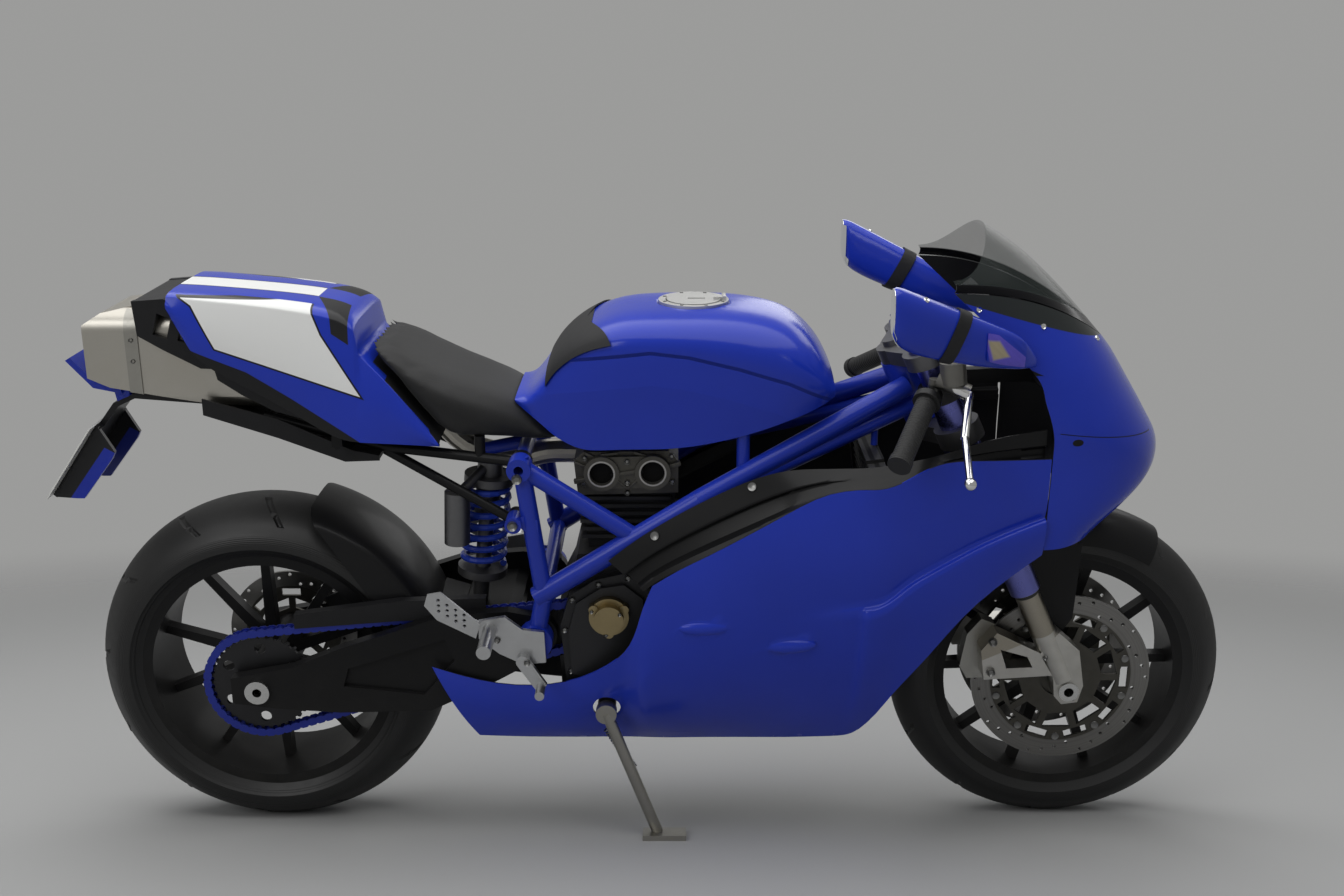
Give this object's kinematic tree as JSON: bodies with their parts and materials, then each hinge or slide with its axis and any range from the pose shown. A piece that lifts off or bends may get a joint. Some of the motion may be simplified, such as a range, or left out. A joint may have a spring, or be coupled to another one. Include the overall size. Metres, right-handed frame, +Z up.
{
  "type": "motorcycle",
  "caption": "Faired road motorcycle leaning on its side stand, with a tube frame, open engine, chain drive, disc brakes and under-seat silencer.",
  "frame": {"origin": "on the floor under the middle of the part as it stands on its side stand", "axes": "+X forward, +Y to the left, +Z up from the floor"},
  "size_m": [2.0722, 0.759, 1.1167],
  "materials": {
    "black_alloy": "black enamel on cast alloy",
    "black_enamel": "satin black enamel",
    "black_gloss": "gloss black moulding",
    "black_plastic": "matt black moulding",
    "blue_gloss": "gloss blue paint on moulded panels",
    "bright_steel": "bright steel",
    "bronze_alloy": "bronze anodised alloy",
    "caliper_alloy": "cast alloy",
    "cap_alloy": "bright turned alloy",
    "chain_paint": "blue coated chain",
    "dark_cover": "dark grey painted alloy",
    "disc_steel": "ground steel",
    "engine_alloy": "cast alloy, dull grey",
    "fork_alloy": "anodised tubes and ground sliders",
    "frame_paint": "blue satin paint on steel tube",
    "grip_rubber": "black rubber grips on black bars",
    "indicator_lens": "pale lens",
    "lamp_glass": "clear lens",
    "lever_chrome": "polished levers",
    "pad_rubber": "matt black pad",
    "plate_white": "blank white plate",
    "rearset_alloy": "bright cast alloy",
    "screen_glass": "smoked clear screen",
    "seat_cover": "black seat cover",
    "silencer_alloy": "brushed warm grey alloy",
    "spring_paint": "blue paint on a coil spring",
    "sprocket_steel": "dark coated steel",
    "stand_steel": "dull plated steel",
    "tail_lens": "blue tinted lens",
    "tank_paint": "gloss blue paint",
    "tyre_rubber": "black tyre rubber",
    "warm_steel": "brushed warm grey steel"
  },
  "bodies": {
    "chassis": {"frame": "frame_paint", "subframe": "black_enamel", "engine": "engine_alloy", "engine_cover": "dark_cover", "slave_cylinder": "bronze_alloy", "radiator": "dark_cover", "exhaust_pipe": "warm_steel", "silencer": "silencer_alloy", "silencer_shield": "black_plastic", "fuel_tank": "tank_paint", "tank_pad": "pad_rubber", "filler_neck": "cap_alloy", "seat": "seat_cover", "tail_cowl": "blue_gloss", "undertail": "black_plastic", "tail_lamp": "tail_lens", "plate_hanger": "black_plastic", "number_plate": "plate_white", "swingarm": "black_alloy", "rear_axle": "bright_steel", "rear_caliper": "dark_cover", "hugger": "black_gloss", "chain_guard": "black_plastic", "chain": "chain_paint", "shock": "engine_alloy", "spring": "spring_paint", "rearset_right": "rearset_alloy", "rearset_left": "rearset_alloy", "fairing_right": "blue_gloss", "fairing_left": "blue_gloss", "inner_panel_right": "black_gloss", "inner_panel_left": "black_gloss", "nose_cowl": "blue_gloss", "headlamp": "lamp_glass", "fairing_stay": "black_enamel", "windscreen": "screen_glass", "mirror_right": "blue_gloss", "mirror_left": "blue_gloss", "indicators": "indicator_lens", "dash": "black_plastic"},
    "steering": {"yokes": "engine_alloy", "fork_legs": "fork_alloy", "front_calipers": "caliper_alloy", "front_axle": "bright_steel", "clip_ons": "grip_rubber", "levers": "lever_chrome", "front_mudguard": "black_gloss"},
    "front_wheel": {"front_tyre": "tyre_rubber", "front_rim": "black_alloy", "front_discs": "disc_steel"},
    "rear_wheel": {"rear_tyre": "tyre_rubber", "rear_rim": "black_alloy", "sprocket": "sprocket_steel", "rear_disc": "disc_steel"},
    "side_stand": {"side_stand": "stand_steel"},
    "fuel_cap": {"fuel_cap": "cap_alloy"}
  },
  "joints": [
    {"name": "steering", "type": "hinge", "parent": "chassis", "child": "steering", "pos_m": [0.70339, 0.161, 0.27588], "axis": [-0.4147, -0.2584, 0.8725], "range_deg": [-28, 28]},
    {"name": "front_wheel_spin", "type": "hinge", "parent": "steering", "child": "front_wheel", "pos_m": [0.73615, 0.15676, 0.2902], "axis": [0, 0.9588, 0.284], "continuous": true},
    {"name": "rear_wheel_spin", "type": "hinge", "parent": "chassis", "child": "rear_wheel", "pos_m": [-0.68385, 0.15253, 0.30448], "axis": [0, 0.9588, 0.284], "continuous": true},
    {"name": "side_stand_swing", "type": "hinge", "parent": "chassis", "child": "side_stand", "pos_m": [-0.07585, -0.00557, 0.23261], "axis": [0, 0.9588, 0.284], "range_deg": [0, 100]},
    {"name": "fuel_cap_hinge", "type": "hinge", "parent": "chassis", "child": "fuel_cap", "pos_m": [0.12615, -0.03781, 0.94708], "axis": [0, 0.9588, 0.284], "range_deg": [0, 90]}
  ]
}
